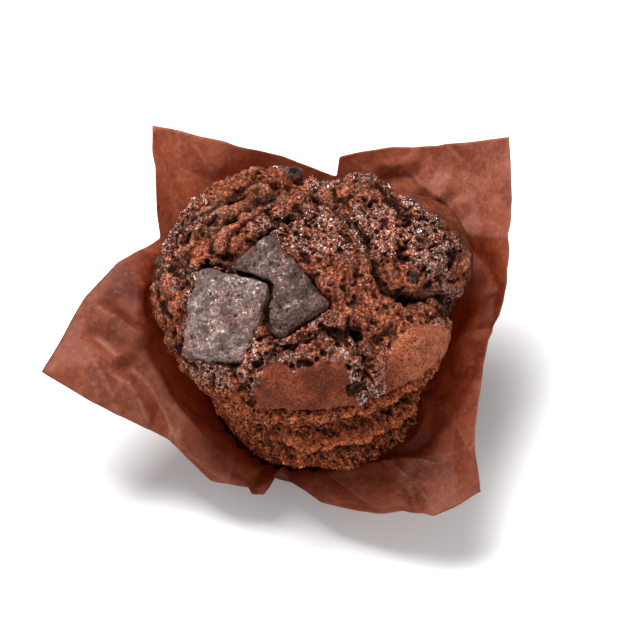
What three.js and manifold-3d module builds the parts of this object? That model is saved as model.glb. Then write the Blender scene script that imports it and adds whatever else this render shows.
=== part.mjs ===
// A domed chocolate muffin standing in a tulip wrap: one baked crumb, one pressed sheet of paper, two
// chocolate chunks and five chips. Millimetres, +Z up, origin at the centre of the wrap's flat underside,
// front towards -Y.

import * as THREE from 'three';
import { mergeVertices } from 'three/addons/utils/BufferGeometryUtils.js';
import Module from 'manifold-3d';

const wasm = await Module();
wasm.setup();

// ---- Driving dimensions --------------------------------------------------------------------------------

const baseRadius = 25.5;      // muffin's flat bottom
const cupRadius = 36;         // muffin's side where the cup ends
const cupHeight = 45;         // from the underside of the wrap to the end of the cup
const domeRadius = 38.5;      // dome without its lobes
const domeRise = 25;          // dome's half height, about its own centre
const domeLift = 2;           // dome's centre above the cup
const domeShift = -1.5;       // dome's centre along X: it rose a little to the left
const lobeMelt = 2;           // how far two lobes run into each other
const paperThickness = 0.7;
const clearance = 0.3;        // gap between pieces that touch
const paperMargin = 0.7;      // further room for the facets of a curved wall
const floorFillet = 3;        // where the wrap's wall leaves its flat base
const tuckDepth = 1.2;        // height of the folds between the wrap's corners
const tuckSpread = 13;        // degrees of the wrap that one group of folds covers
const tuckPitch = 15;         // degrees between two folds
const chunkThickness = 7;
const chunkBevel = 1;
const chipSize = 5.2;         // across a whole chip
const heartHeight = 36;       // the crumb's directions are measured from this height on the axis
const weldDistance = 1e-4;    // vertices closer than this are one

const crumbDetail = 12;       // facets along an edge of the icosahedron that the crumb is drawn on
const chipDetail = 2;
const wrapColumns = 96;
const filletRows = 2;
const wallRows = 3;
const flapRows = 6;

// ---- Small helpers -------------------------------------------------------------------------------------

const degrees = Math.PI / 180;
const sideways = new THREE.Vector3(1, 0, 0);
const heart = new THREE.Vector3(0, 0, heartHeight);

function melt(a, b, width) {
  const overlap = Math.max(width - Math.abs(a - b), 0) / width;
  return Math.min(a, b) - overlap * overlap * width / 4;
}

function direction(azimuth, elevation) {
  const flat = Math.cos(elevation * degrees);
  return new THREE.Vector3(
    flat * Math.cos(azimuth * degrees), flat * Math.sin(azimuth * degrees), Math.sin(elevation * degrees));
}

function toSolid(geometry) {
  const bare = geometry.clone();
  bare.deleteAttribute('normal');
  bare.deleteAttribute('uv');
  const merged = mergeVertices(bare, weldDistance);
  return new wasm.Manifold(new wasm.Mesh({
    numProp: 3,
    vertProperties: new Float32Array(merged.attributes.position.array),
    triVerts: new Uint32Array(merged.index.array),
  }));
}

function toGeometry(solid) {
  const mesh = solid.getMesh();
  const geometry = new THREE.BufferGeometry();
  geometry.setAttribute('position', new THREE.BufferAttribute(mesh.vertProperties, mesh.numProp));
  geometry.setIndex(new THREE.BufferAttribute(mesh.triVerts, 1));
  geometry.computeVertexNormals();
  return geometry;
}

// ---- Crumb: a tapered cup, a dome and its lobes, as one field that is negative inside ------------------

// Each lobe: x, y and height above the cup, half sizes along, across and up, and the turn of its long side.
const lobes = [
  { at: [-21, 20.5, 12], half: [25, 12, 14], turn: 38 },   // back left ridge
  { at: [20, 11.5, 6.5], half: [23, 20, 17.5], turn: 0 },  // back right
  { at: [12, 20, 13], half: [12, 12, 13], turn: 0 },       // back, beside the notch
  { at: [3, -4, 9], half: [22, 24, 19], turn: 0 },         // top
  { at: [-24, 1, 5], half: [19.5, 22, 18], turn: 0 },      // left
  { at: [-1, -23, 4], half: [15, 15.5, 12], turn: 0 },     // front crust
  { at: [21, -17, 5], half: [17, 12, 12], turn: 40 },      // front right crust
  { at: [3, -12, -11], half: [cupRadius - 10, cupRadius - 12, 9], turn: 0 },   // upper torn ledge
  { at: [5, -9, -23], half: [cupRadius - 11, cupRadius - 10, 8], turn: 0 },    // lower torn ledge
];

function sideRadius(z) {
  return baseRadius + (cupRadius - baseRadius) * z / cupHeight;
}

function ellipsoid(x, y, z, [a, b, c]) {
  const reach = Math.hypot(x / a, y / b, z / c);
  const slope = Math.hypot(x / (a * a), y / (b * b), z / (c * c));
  return slope > 0 ? reach * (reach - 1) / slope : -Math.min(a, b, c);
}

function dome(x, y, z) {
  return ellipsoid(x - domeShift, y, z - cupHeight - domeLift, [domeRadius, domeRadius, domeRise]);
}

function crumbField(x, y, z) {
  const side = Math.max(Math.hypot(x, y) - sideRadius(z), z - cupHeight);
  let field = melt(side, dome(x, y, z), lobeMelt);
  for (const { at, half, turn } of lobes) {
    const cos = Math.cos(turn * degrees);
    const sin = Math.sin(turn * degrees);
    const along = (x - at[0]) * cos + (y - at[1]) * sin;
    const across = (y - at[1]) * cos - (x - at[0]) * sin;
    field = melt(field, ellipsoid(along, across, z - cupHeight - at[2], half), lobeMelt);
  }
  return field;
}

// The outermost point of the crumb from its heart, along a direction.
function crustPoint(towards) {
  const step = 1;
  const halvings = 16;
  const point = (distance) => heart.clone().addScaledVector(towards, distance);
  const inside = (distance) => crumbField(...point(distance).toArray()) < 0;
  let far = 2 * (cupHeight + domeRadius);
  while (!inside(far - step)) far -= step;
  let near = far - step;
  for (let n = 0; n < halvings; n += 1) {
    const middle = (near + far) / 2;
    if (inside(middle)) near = middle;
    else far = middle;
  }
  return point(near);
}

function crumbBody() {
  const ball = new THREE.IcosahedronGeometry(1, crumbDetail);
  const position = ball.attributes.position;
  const spot = new THREE.Vector3();
  for (let n = 0; n < position.count; n += 1) {
    spot.fromBufferAttribute(position, n).normalize();
    position.setXYZ(n, ...crustPoint(spot).toArray());
  }
  const bottom = paperThickness + clearance;
  const depth = 2 * cupHeight;
  const below = new THREE.BoxGeometry(4 * cupRadius, 4 * cupRadius, depth);
  below.translate(0, 0, bottom - depth / 2);
  return toSolid(ball).subtract(toSolid(below));
}

// ---- Chocolate -----------------------------------------------------------------------------------------

// A frame on the crust along a direction. Its Z axis is square to the chocolate's upper face, and its X axis
// still points towards the right.
function seat(azimuth, elevation, faceAzimuth, faceElevation, sunk) {
  const outward = direction(faceAzimuth, faceElevation);
  const level = sideways.clone().addScaledVector(outward, -outward.dot(sideways)).normalize();
  const place = new THREE.Matrix4().makeBasis(level, outward.clone().cross(level), outward);
  const spot = crustPoint(direction(azimuth, elevation)).addScaledVector(outward, -sunk);
  return place.setPosition(spot);
}

// A broken piece of a chocolate tablet. It grows by `grown` on every side, for the socket that it sits in.
function chunkGeometry(outline, place, grown = 0) {
  const shape = new THREE.Shape(outline.map(([x, y]) => new THREE.Vector2(x, y)));
  const geometry = new THREE.ExtrudeGeometry(shape, {
    depth: chunkThickness - 2 * chunkBevel,
    bevelThickness: chunkBevel + grown,
    bevelSize: chunkBevel + grown,
    bevelOffset: -chunkBevel,
    bevelSegments: 2,
    steps: 1,
  });
  geometry.translate(0, 0, chunkBevel - chunkThickness);
  return geometry.applyMatrix4(place);
}

const chunkOutlines = {
  chocolate_chunk_left: [
    [-9.6, 4.7], [-12, -6.6], [-11.2, -10.6], [5.5, -12.9],
    [10.1, -2.2], [12, 7.4], [7.4, 9.9], [-6.6, 13.2],
  ],
  chocolate_chunk_right: [[-13.4, 4.9], [-2.2, -12.6], [0.5, -14], [13.2, -5.5], [-3, 14.2]],
};

const chunkSeats = {
  chocolate_chunk_left: seat(-142, 43, -120, 54, -2.6),
  chocolate_chunk_right: seat(-124, 65, -104, 54, -1.8),
};

// Each chip: direction from the heart, the share of the three axes of its lump, and how deep its middle lies.
const chips = {
  chocolate_chip_back: { azimuth: 100, elevation: 44, lump: [1, 0.8, 0.85], sunk: 0.4 },
  chocolate_chip_right: { azimuth: -12, elevation: 46, lump: [1.1, 0.8, 0.8], sunk: 0.2 },
  chocolate_chip_rim: { azimuth: 9, elevation: 36, lump: [0.9, 0.9, 0.8], sunk: 0.4 },
  chocolate_chip_front: { azimuth: -73, elevation: 26, lump: [1.15, 0.8, 0.8], sunk: 0.3 },
  chocolate_chip_left: { azimuth: 166, elevation: 20, lump: [0.8, 0.8, 0.7], sunk: 0.3 },
};

function chipGeometry({ azimuth, elevation, lump, sunk }, grown = 0) {
  const geometry = new THREE.IcosahedronGeometry(1, chipDetail);
  geometry.scale(...lump.map((share) => share * chipSize / 2 + grown));
  return geometry.applyMatrix4(seat(azimuth, elevation, azimuth, elevation, sunk));
}

// ---- Wrap: a sheet pressed into a cup, with four corners flared outwards -------------------------------

// Around the wrap, by azimuth: the height where the paper parts from the crumb, then how far the bend and the
// edge lie out from the cup's lip and up from it. The four corners reach furthest.
const flaps = [
  { azimuth: -164.8, leave: 24, bend: [10, -1], edge: [39, -3] },      // left corner
  { azimuth: -157, leave: 22, bend: [9, -5], edge: [28, -9] },
  { azimuth: -143, leave: 17, bend: [3, -17], edge: [12, -20] },
  { azimuth: -127, leave: 12, bend: [0, -27], edge: [9, -29] },
  { azimuth: -109, leave: 8, bend: [-3, -34], edge: [4, -33] },
  { azimuth: -102, leave: 8, bend: [-4, -35], edge: [-2, -32] },       // front tuck
  { azimuth: -87, leave: 8, bend: [-1, -34], edge: [6, -31] },
  { azimuth: -71, leave: 9, bend: [2, -33], edge: [14, -29] },
  { azimuth: -58, leave: 11, bend: [4, -31], edge: [24, -27] },
  { azimuth: -46, leave: 15, bend: [5, -26], edge: [29, -21] },        // front right corner
  { azimuth: -35, leave: 20, bend: [5, -18], edge: [18, -12] },
  { azimuth: -20, leave: 26, bend: [6, -8], edge: [12, -3] },
  { azimuth: 3, leave: 30, bend: [6, -4], edge: [14, 1] },             // right tuck
  { azimuth: 14, leave: 32, bend: [6, -3], edge: [17, 5] },
  { azimuth: 28, leave: 32, bend: [7, -2], edge: [25, 12] },
  { azimuth: 40.4, leave: 32, bend: [8, -2], edge: [34, 19] },         // back right corner
  { azimuth: 52, leave: 32, bend: [6, -2], edge: [19, 17] },
  { azimuth: 78, leave: 32, bend: [5, -2], edge: [9, 12] },
  { azimuth: 93, leave: 32, bend: [5, -2], edge: [6, 11] },            // back tuck
  { azimuth: 115, leave: 32, bend: [6, -2], edge: [9, 20] },
  { azimuth: 136.2, leave: 32, bend: [6, -1], edge: [24, 28] },        // back left corner
  { azimuth: 145, leave: 32, bend: [7, -1], edge: [15, 17] },
  { azimuth: 153, leave: 31, bend: [8, 0], edge: [10, 5] },            // left tuck
  { azimuth: 165.5, leave: 29, bend: [9, 2], edge: [18, 3] },
  { azimuth: 177.3, leave: 27, bend: [10, 2], edge: [25, 1] },
];
const tucks = [-104, -10, 86, 155];

function blendFlaps(before, after, share) {
  const mix = (a, b) => a + (b - a) * share;
  return {
    leave: mix(before.leave, after.leave),
    bend: before.bend.map((value, n) => mix(value, after.bend[n])),
    edge: before.edge.map((value, n) => mix(value, after.edge[n])),
  };
}

function flapAt(azimuth) {
  const wrapped = flaps[0].azimuth + ((azimuth - flaps[0].azimuth) % 360 + 360) % 360;
  const closed = [...flaps, { ...flaps[0], azimuth: flaps[0].azimuth + 360 }];
  const after = closed.findIndex((flap) => flap.azimuth > wrapped);
  const before = closed[after - 1];
  const share = (wrapped - before.azimuth) / (closed[after].azimuth - before.azimuth);
  return blendFlaps(before, closed[after], share);
}

// The ridges of folded paper between two corners, growing from the base to the edge.
function tuckHeight(azimuth, share) {
  let height = 0;
  for (const tuck of tucks) {
    const away = ((azimuth - tuck + 540) % 360) - 180;
    height += Math.exp(-((away / tuckSpread) ** 2)) * Math.cos(2 * Math.PI * away / tuckPitch);
  }
  return tuckDepth * share * height;
}

// Moves a point of the paper outwards until the crumb behind it is far enough away.
function clearOfCrumb(azimuth, radius, height) {
  const step = 0.1;
  const room = paperThickness + clearance + paperMargin;
  const cos = Math.cos(azimuth * degrees);
  const sin = Math.sin(azimuth * degrees);
  let clear = radius;
  while (crumbField(clear * cos, clear * sin, height) < room) clear += step;
  return clear;
}

// The paper's outer face above one azimuth, from the base's edge to the sheet's edge, as radius and height.
function flapProfile(azimuth) {
  const { leave, bend, edge } = flapAt(azimuth);
  const skin = paperThickness + clearance + paperMargin;
  const lip = cupRadius + skin;
  const part = [sideRadius(leave) + skin, leave];
  const turn = [lip + bend[0], cupHeight + bend[1]];
  const end = [lip + edge[0], cupHeight + edge[1]];
  const corner = new THREE.QuadraticBezierCurve(
    new THREE.Vector2(sideRadius(0) + skin - floorFillet, 0),
    new THREE.Vector2(sideRadius(0) + skin, 0),
    new THREE.Vector2(sideRadius(floorFillet) + skin, floorFillet));
  const flap = new THREE.QuadraticBezierCurve(
    new THREE.Vector2(...part), new THREE.Vector2(...turn), new THREE.Vector2(...end));
  const points = corner.getPoints(filletRows);
  for (let n = 1; n <= wallRows; n += 1) {
    const height = floorFillet + (leave - floorFillet) * n / wallRows;
    points.push(new THREE.Vector2(sideRadius(height) + skin, height));
  }
  points.push(...flap.getPoints(flapRows).slice(1));
  return points.map(({ x, y }, n) => {
    const share = Math.max(n - filletRows, 0) / (points.length - 1 - filletRows);
    return new THREE.Vector2(clearOfCrumb(azimuth, x + tuckHeight(azimuth, share), Math.max(y, 0)), y);
  });
}

// The same line, moved inwards by the paper's thickness.
function innerProfile(outer) {
  return outer.map((point, n) => {
    const along = outer[Math.min(n + 1, outer.length - 1)].clone().sub(outer[Math.max(n - 1, 0)]).normalize();
    const inward = n === 0 ? new THREE.Vector2(0, 1) : new THREE.Vector2(-along.y, along.x);
    return point.clone().addScaledVector(inward, paperThickness);
  });
}

function wrapGeometry() {
  const centre = (height) => new THREE.Vector2(0, height);
  const profileAt = (azimuth) => {
    const outer = flapProfile(azimuth);
    const inner = innerProfile(outer).reverse();
    return [centre(0), ...outer, ...inner, centre(paperThickness)];
  };
  const geometry = new THREE.LatheGeometry(profileAt(0), wrapColumns);
  const position = geometry.attributes.position;
  const rows = profileAt(0).length;
  for (let column = 0; column <= wrapColumns; column += 1) {
    const azimuth = (column % wrapColumns) * 360 / wrapColumns;
    const towards = direction(azimuth, 0);
    profileAt(azimuth).forEach(({ x, y }, row) => {
      position.setXYZ(column * rows + row, x * towards.x, x * towards.y, y);
    });
  }
  return geometry;
}

// ---- Assembly ------------------------------------------------------------------------------------------

const finishes = {
  crumb: { color: 0x5a2f20, roughness: 0.75, metalness: 0 },
  paper: { color: 0x7d4430, roughness: 0.6, metalness: 0 },
  chocolate: { color: 0x4a3a37, roughness: 0.65, metalness: 0 },
};

function piece(name, solid, finish) {
  const mesh = new THREE.Mesh(toGeometry(solid), new THREE.MeshStandardMaterial(finishes[finish]));
  mesh.name = name;
  return mesh;
}

const group = new THREE.Group();
const sockets = [];

const topChunk = 'chocolate_chunk_left';
const lowerChunk = 'chocolate_chunk_right';
const chunk = (name, grown) => toSolid(chunkGeometry(chunkOutlines[name], chunkSeats[name], grown));
group.add(piece(topChunk, chunk(topChunk, 0), 'chocolate'));
group.add(piece(lowerChunk, chunk(lowerChunk, 0).subtract(chunk(topChunk, clearance)), 'chocolate'));
sockets.push(chunk(topChunk, clearance), chunk(lowerChunk, clearance));

for (const [name, chip] of Object.entries(chips)) {
  group.add(piece(name, toSolid(chipGeometry(chip)), 'chocolate'));
  sockets.push(toSolid(chipGeometry(chip, clearance)));
}

const crumb = sockets.reduce((body, socket) => body.subtract(socket), crumbBody());
group.add(piece('muffin_crumb', crumb, 'crumb'));
group.add(piece('paper_wrap', toSolid(wrapGeometry()), 'paper'));

export default group;
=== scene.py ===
"""A domed chocolate muffin in a tulip wrap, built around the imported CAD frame.

The crumb is drawn on a fine ball of directions around a heart inside the muffin, from the same lobes as
the CAD body, and then cracked, torn and roughened. The wrap is one creased sheet of paper, folded by azimuth.
The chocolate pieces start from their CAD solids. Lengths are millimetres and angles degrees, unless a name or
comment says otherwise.
"""

import math
from itertools import combinations

import bpy
import numpy as np
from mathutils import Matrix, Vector
from mathutils.bvhtree import BVHTree
from numpy.linalg import norm


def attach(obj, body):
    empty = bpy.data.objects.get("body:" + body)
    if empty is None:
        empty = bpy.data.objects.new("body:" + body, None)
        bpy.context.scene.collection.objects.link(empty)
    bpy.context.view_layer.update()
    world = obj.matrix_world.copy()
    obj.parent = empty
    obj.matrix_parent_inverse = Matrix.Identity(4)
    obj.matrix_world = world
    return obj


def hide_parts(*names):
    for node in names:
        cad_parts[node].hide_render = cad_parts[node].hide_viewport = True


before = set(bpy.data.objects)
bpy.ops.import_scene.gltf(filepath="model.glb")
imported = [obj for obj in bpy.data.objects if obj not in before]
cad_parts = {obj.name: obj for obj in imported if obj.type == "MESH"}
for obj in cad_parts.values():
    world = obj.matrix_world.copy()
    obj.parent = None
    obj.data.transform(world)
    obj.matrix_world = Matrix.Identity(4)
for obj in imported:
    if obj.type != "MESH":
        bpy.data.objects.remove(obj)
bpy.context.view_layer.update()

MM = 0.001

# ---- Driving values, as in the CAD part ----

BASE_RADIUS = 25.5
CUP_RADIUS = 36.0
CUP_HEIGHT = 45.0
DOME_HALF = (38.5, 38.5, 25.0)
DOME_SHIFT = -1.5
DOME_LIFT = 2.0
HEART = np.array([0.0, 0.0, 36.0])
BOTTOM = 1.0  # underside of the crumb, on the paper

SHEET_SIDE = 0.140  # the square of paper before it is pressed, metres
PAPER_THICKNESS = 0.14
BALL_FREQUENCY = 97  # faces of the crumb are 20 times the square of this
FARTHEST = 74.0  # no part of the crumb is this far from the heart
WRAP_COLUMNS = 500
WRAP_ROWS = 74
CHUNK_VOXEL = 0.34
CHUNK_ROUNDING = 50  # passes that round the edges of a chunk
CHIP_VOXEL = 0.2
CHIP_ROUNDING = 3

# Each lobe: x, y and height above the cup, half sizes, and turn of its long side.
LOBES = {
    "ridge": ((-21, 20.5, 12), (25, 12, 14), 38),
    "right": ((20, 11.5, 6.5), (23, 20, 17.5), 0),
    "notch": ((12, 20, 13), (12, 12, 13), 0),
    "top": ((3, -4, 9), (22, 24, 19), 0),
    "left": ((-24, 1, 5), (19.5, 22, 18), 0),
    "front": ((-1, -23, 4), (15, 15.5, 12), 0),
    "front_right": ((21, -17, 5), (17, 12, 12), 40),
    "upper_ledge": ((3, -12, -11), (26, 24, 9), 0),
    "lower_ledge": ((5, -9, -23), (25, 26, 8), 0),
}
LOBE_MELT = 1.0  # how far two lobes run into each other
LOBE_BORDER = (1.6, 0.2)  # a lobe's own marks fade out between these depths under another lobe
CROWDED = (0, -0.22, 0.42)  # the crumb's faces are crowded this way, to where it shows most

BANK_HEIGHT = 0.9  # the crumb rises this much against a chocolate piece
BANK_WIDTH = 2.2
SOCKET_GAP = 0.15
BIG_PIECE = 12.0  # a piece this wide lies in a socket, and a smaller one is held by the crumb
SHOWING = 0.8  # share of a chip's width that the crumb leaves bare
CHIP_SINK = 0.8  # how far the crumb stays below a chip's bare face
CHUNK_GAP = 2.2  # dark gap between the two chunks

rng = np.random.default_rng(7)

# ---- Noise ----

CORNERS = np.array([(x, y, z) for x in (0, 1) for y in (0, 1) for z in (0, 1)])
NEIGHBOURS = np.array([(x, y, z) for x in (-1, 0, 1) for y in (-1, 0, 1) for z in (-1, 0, 1)])


def hashed(cell, seed):
    """A number from 0 to 1 for each whole-number cell."""
    x, y, z = (cell[..., n].astype(np.uint32) for n in range(3))
    mixed = x * np.uint32(73856093) ^ y * np.uint32(19349663) ^ z * np.uint32(83492791)
    mixed = (mixed ^ np.uint32(seed * 97 + 13)) * np.uint32(2654435761)
    mixed = (mixed ^ (mixed >> np.uint32(15))) * np.uint32(2246822519)
    mixed = (mixed ^ (mixed >> np.uint32(13))) * np.uint32(3266489917)
    return (mixed ^ (mixed >> np.uint32(16))) / float(2 ** 32)


def noise(points, size, seed, octaves=1):
    """Smooth noise from -1 to 1 whose features are `size` across. Each use has a seed of its own."""
    total = np.zeros(len(points))
    weight = 1.0
    whole = 0.0
    for octave in range(octaves):
        spot = points / size + seed * 7.31
        cell = np.floor(spot).astype(np.int64)
        part = spot - cell
        fade = part * part * part * (part * (part * 6 - 15) + 10)
        for corner in CORNERS:
            share = np.prod(np.where(corner, fade, 1 - fade), axis=1)
            total += weight * share * (2 * hashed(cell + corner, seed + octave) - 1)
        whole += weight
        weight *= 0.5
        size *= 0.5
    return total / whole


def wandering(points, size, seed, octaves):
    """A smooth random push at each point, from three noises with seeds one apart."""
    return np.stack([noise(points, size, seed + n, octaves) for n in range(3)], axis=1)


def cells(points, size, seed):
    """For spots scattered `size` apart: distances to the nearest two, and a number for the nearest one."""
    spot = points / size
    cell = np.floor(spot).astype(np.int64)
    nearest = np.full(len(points), 9.0)
    second = np.full(len(points), 9.0)
    number = np.zeros(len(points))
    for step in NEIGHBOURS:
        near = cell + step
        jitter = np.stack([hashed(near, seed + axis) for axis in range(3)], axis=1)
        away = norm(near + jitter - spot, axis=1)
        closer = away < nearest
        second = np.where(closer, nearest, np.minimum(second, away))
        number = np.where(closer, hashed(near, seed + 3), number)
        nearest = np.where(closer, away, nearest)
    return nearest, second, number


def smooth(low, high, value):
    """0 up to `low`, 1 from `high` on, and a soft step between them; `low` may be the larger."""
    share = np.clip((value - low) / (high - low), 0, 1)
    return share * share * (3 - 2 * share)


def half_turn(angle):
    """The same angle between -180 and 180."""
    return np.mod(angle + 180, 360) - 180


def level_aim(azimuth):
    """Level directions with these azimuths, as x and y."""
    turn = np.radians(azimuth)
    return np.stack([np.cos(turn), np.sin(turn)], axis=-1)


# ---- Meshes ----

def mesh_object(name, points, faces, marks=None):
    """A smooth-shaded object from points in millimetres, with named numbers on its points."""
    mesh = bpy.data.meshes.new(name)
    mesh.from_pydata((points * MM).tolist(), [], faces.tolist())
    for key, values in (marks or {}).items():
        mesh.attributes.new(key, "FLOAT", "POINT").data.foreach_set("value", values.astype(np.float32))
    mesh.shade_smooth()
    mesh.validate()
    piece = bpy.data.objects.new(name, mesh)
    bpy.context.scene.collection.objects.link(piece)
    return piece


def evaluated_mesh(piece):
    return bpy.data.meshes.new_from_object(piece.evaluated_get(bpy.context.evaluated_depsgraph_get()))


def mesh_points(mesh):
    """A mesh's points in millimetres."""
    return np.array([v.co[:] for v in mesh.vertices]) / MM


def surface_tree(mesh):
    """A mesh's surface, for finding near points and what a ray meets, in metres."""
    return BVHTree.FromPolygons([v.co[:] for v in mesh.vertices], [p.vertices[:] for p in mesh.polygons])


def point_normals(points, triangles):
    """The way out at each point, from the faces around it."""
    a, b, c = (points[triangles[:, n]] for n in range(3))
    across = np.cross(b - a, c - a)
    normals = np.zeros_like(points)
    for n in range(3):
        np.add.at(normals, triangles[:, n], across)
    return normals / np.maximum(norm(normals, axis=1, keepdims=True), 1e-12)


def ball(frequency):
    """Directions and triangles of a geodesic ball."""
    gold = (1 + math.sqrt(5)) / 2
    tips = np.array([np.roll((0, a, b * gold), n) for n in range(3) for a in (-1, 1) for b in (-1, 1)])
    edge = 2.0  # from a tip to its neighbours
    sides = [side for side in combinations(tips, 3)
             if all(norm(a - b) < 1.1 * edge for a, b in combinations(side, 2))]
    rows, columns = np.array([(i, j) for i in range(frequency + 1) for j in range(i + 1)]).T

    def spot(i, j):
        return i * (i + 1) // 2 + j

    up = [(spot(i, j), spot(i + 1, j), spot(i + 1, j + 1)) for i in range(frequency) for j in range(i + 1)]
    down = [(spot(i, j), spot(i + 1, j + 1), spot(i, j + 1)) for i in range(1, frequency) for j in range(i)]
    local = np.array(up + down)
    points = []
    faces = []
    for side in sides:
        a, b, c = side if np.linalg.det(side) > 0 else side[::-1]
        faces.append(local + len(rows) * len(points))
        points.append((frequency - rows)[:, None] * a + (rows - columns)[:, None] * b + columns[:, None] * c)
    points = np.concatenate(points) / frequency
    _, first, merged = np.unique(np.round(points, 5), axis=0, return_index=True, return_inverse=True)
    points = points[first]
    triangles = merged.reshape(-1)[np.concatenate(faces)]
    return points / norm(points, axis=1, keepdims=True), triangles


# ---- Crumb ----

def melt(a, b, width):
    """The union of two fields, rounded where they meet."""
    overlap = np.maximum(width - np.abs(a - b), 0) / width
    return np.minimum(a, b) - overlap * overlap * width / 4


def ellipsoid(points, half):
    """About the distance from an ellipsoid with these half sizes, negative inside."""
    half = np.asarray(half, float)
    reach = norm(points / half, axis=1)
    slope = np.maximum(norm(points / half ** 2, axis=1), 1e-9)
    return reach * (reach - 1) / slope


def turned(points, centre, turn):
    """Points seen from a lobe: along its long side, across it and up."""
    cos = math.cos(math.radians(turn))
    sin = math.sin(math.radians(turn))
    x, y, z = (points - (np.array(centre) + (0, 0, CUP_HEIGHT))).T
    return np.stack([x * cos + y * sin, y * cos - x * sin, z], axis=1)


def side_radius(height):
    """Radius of the muffin's plain side at a height."""
    return BASE_RADIUS + (CUP_RADIUS - BASE_RADIUS) * height / CUP_HEIGHT


def body_field(points):
    """Negative inside the crumb."""
    x, y, z = points.T
    side = np.maximum(np.hypot(x, y) - side_radius(z), z - CUP_HEIGHT)
    dome = ellipsoid(points - (DOME_SHIFT, 0, CUP_HEIGHT + DOME_LIFT), DOME_HALF)
    field = melt(side, dome, 2 * LOBE_MELT)
    for centre, half, turn in LOBES.values():
        field = melt(field, ellipsoid(turned(points, centre, turn), half), LOBE_MELT)
    return np.maximum(field, BOTTOM - z)


def lobe_share(points, name):
    """1 where the surface belongs to one lobe, 0 where another covers it."""
    centre, half, turn = LOBES[name]
    return smooth(*LOBE_BORDER, ellipsoid(turned(points, centre, turn), half) - body_field(points))


def surface_reach(directions):
    """The crumb's outermost distance from the heart along each direction."""
    far = np.full(len(directions), FARTHEST)
    step = 2.0
    outside = np.ones(len(directions), bool)
    while outside.any():
        spots = HEART + directions[outside] * (far[outside] - step)[:, None]
        still = body_field(spots) > 0
        index = np.flatnonzero(outside)
        far[index[still]] -= step
        outside[index[~still]] = False
    near = far - step
    for _ in range(12):
        middle = (near + far) / 2
        inside = body_field(HEART + directions * middle[:, None]) < 0
        near = np.where(inside, middle, near)
        far = np.where(inside, far, middle)
    return near


def aim(azimuth, elevation):
    """The direction with this azimuth and elevation."""
    azimuth, elevation = math.radians(azimuth), math.radians(elevation)
    level = math.cos(elevation)
    return np.array([math.cos(azimuth) * level, math.sin(azimuth) * level, math.sin(elevation)])


# Each crack: half width, depth, height of its lips, and its way over the crumb as azimuth and elevation
# seen from the heart.
CRACKS = [
    (2.0, 3.5, 0.4, [(95, 47), (86, 61), (69, 65), (44, 67), (22, 66), (-8, 66), (-20, 60), (-26, 54)]),
    (3.4, 5.5, 0.2, [(-8, 64), (-20, 60), (-27, 54), (-26, 47), (-19, 38)]),
    (3.2, 7.5, 0.2, [(-27, 45), (-19, 38), (-9, 31), (-4, 22), (-6, 10)]),
    (1.5, 5.5, 0.5, [(-63, 49), (-64, 44), (-66, 39), (-67, 33), (-66, 28), (-66, 21), (-63, 12)]),
    (2.6, 1.8, 0.2, [(-113, 30), (-112, 35), (-106, 41), (-96, 46), (-84, 48), (-71, 47), (-55, 40),
                     (-40, 40)]),
    (2.2, 3.6, 0.4, [(106, 69), (128, 70), (155, 68), (177, 62), (-172, 52), (-173, 43), (-175, 38),
                     (171, 31)]),
    (1.3, 2.4, 0.8, [(-178, 44), (163, 48), (140, 54), (127, 55), (111, 54), (97, 56)]),
    (1.1, 2.0, 0.8, [(-174, 52), (167, 56), (146, 60), (126, 60), (108, 62)]),
    (1.0, 1.8, 0.6, [(167, 35), (161, 42), (148, 48), (128, 51), (106, 48)]),
    (4.0, 3.4, 0.4, [(-116, -2), (-100, 3), (-83, 6), (-67, 7), (-53, 6), (-38, 7), (-24, 10)]),
    (2.4, 4.6, 0.8, [(-111, -22), (-100, -20), (-90, -19), (-75, -18), (-60, -17), (-45, -14), (-32, -4)]),
    (1.8, 2.6, 0.4, [(-113, 28), (-114, 17), (-113, 0), (-112, -20), (-109, -34)]),
    (1.2, 1.4, 0.6, [(-160, 12), (-143, 13), (-128, 19), (-117, 22), (-112, 27)]),
    (0.9, 2.2, 1.0, [(15, 47), (12, 41), (11, 36), (9, 29)]),
    (0.8, 1.8, 0.9, [(8, 45), (5, 39), (2, 33)]),
    (0.8, 1.8, 0.9, [(24, 46), (20, 41), (18, 35)]),
    (1.8, 4.0, 0.0, [(-133, 62), (-125, 59), (-120, 54), (-118, 49)]),
]

CRACK_STRAY = 0.035  # how far the cracks stray from their ways, as a share of the wander
CRACK_ENDS = 0.08  # share of a crack's length in which it fades out, at each end

# Each strand, a thin raised fold of batter: half width, height, and its way as above.
STRANDS = [
    (0.8, 1.5, [(178, 38), (171, 41), (163, 45), (160, 49), (158, 52)]),
    (0.9, 1.7, [(160, 48), (156, 49), (146, 52), (135, 53), (124, 53), (112, 53)]),
    (0.8, 1.2, [(146, 54), (141, 54), (133, 56), (126, 57)]),
    (0.9, 1.3, [(-178, 52), (177, 52), (161, 53), (149, 56), (140, 59)]),
    (0.8, 1.2, [(175, 35), (171, 37), (165, 40), (157, 44), (148, 48), (136, 49)]),
    (0.9, 1.6, [(-114, 12), (-98, 14), (-81, 15), (-68, 15), (-54, 15), (-38, 15), (-26, 14)]),
    (1.3, 1.8, [(-114, -12), (-97, -8), (-81, -5), (-65, -4), (-44, -4), (-30, 0)]),
]
STRAND_STRAY = 0.02
STRAND_ENDS = 0.15


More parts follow.
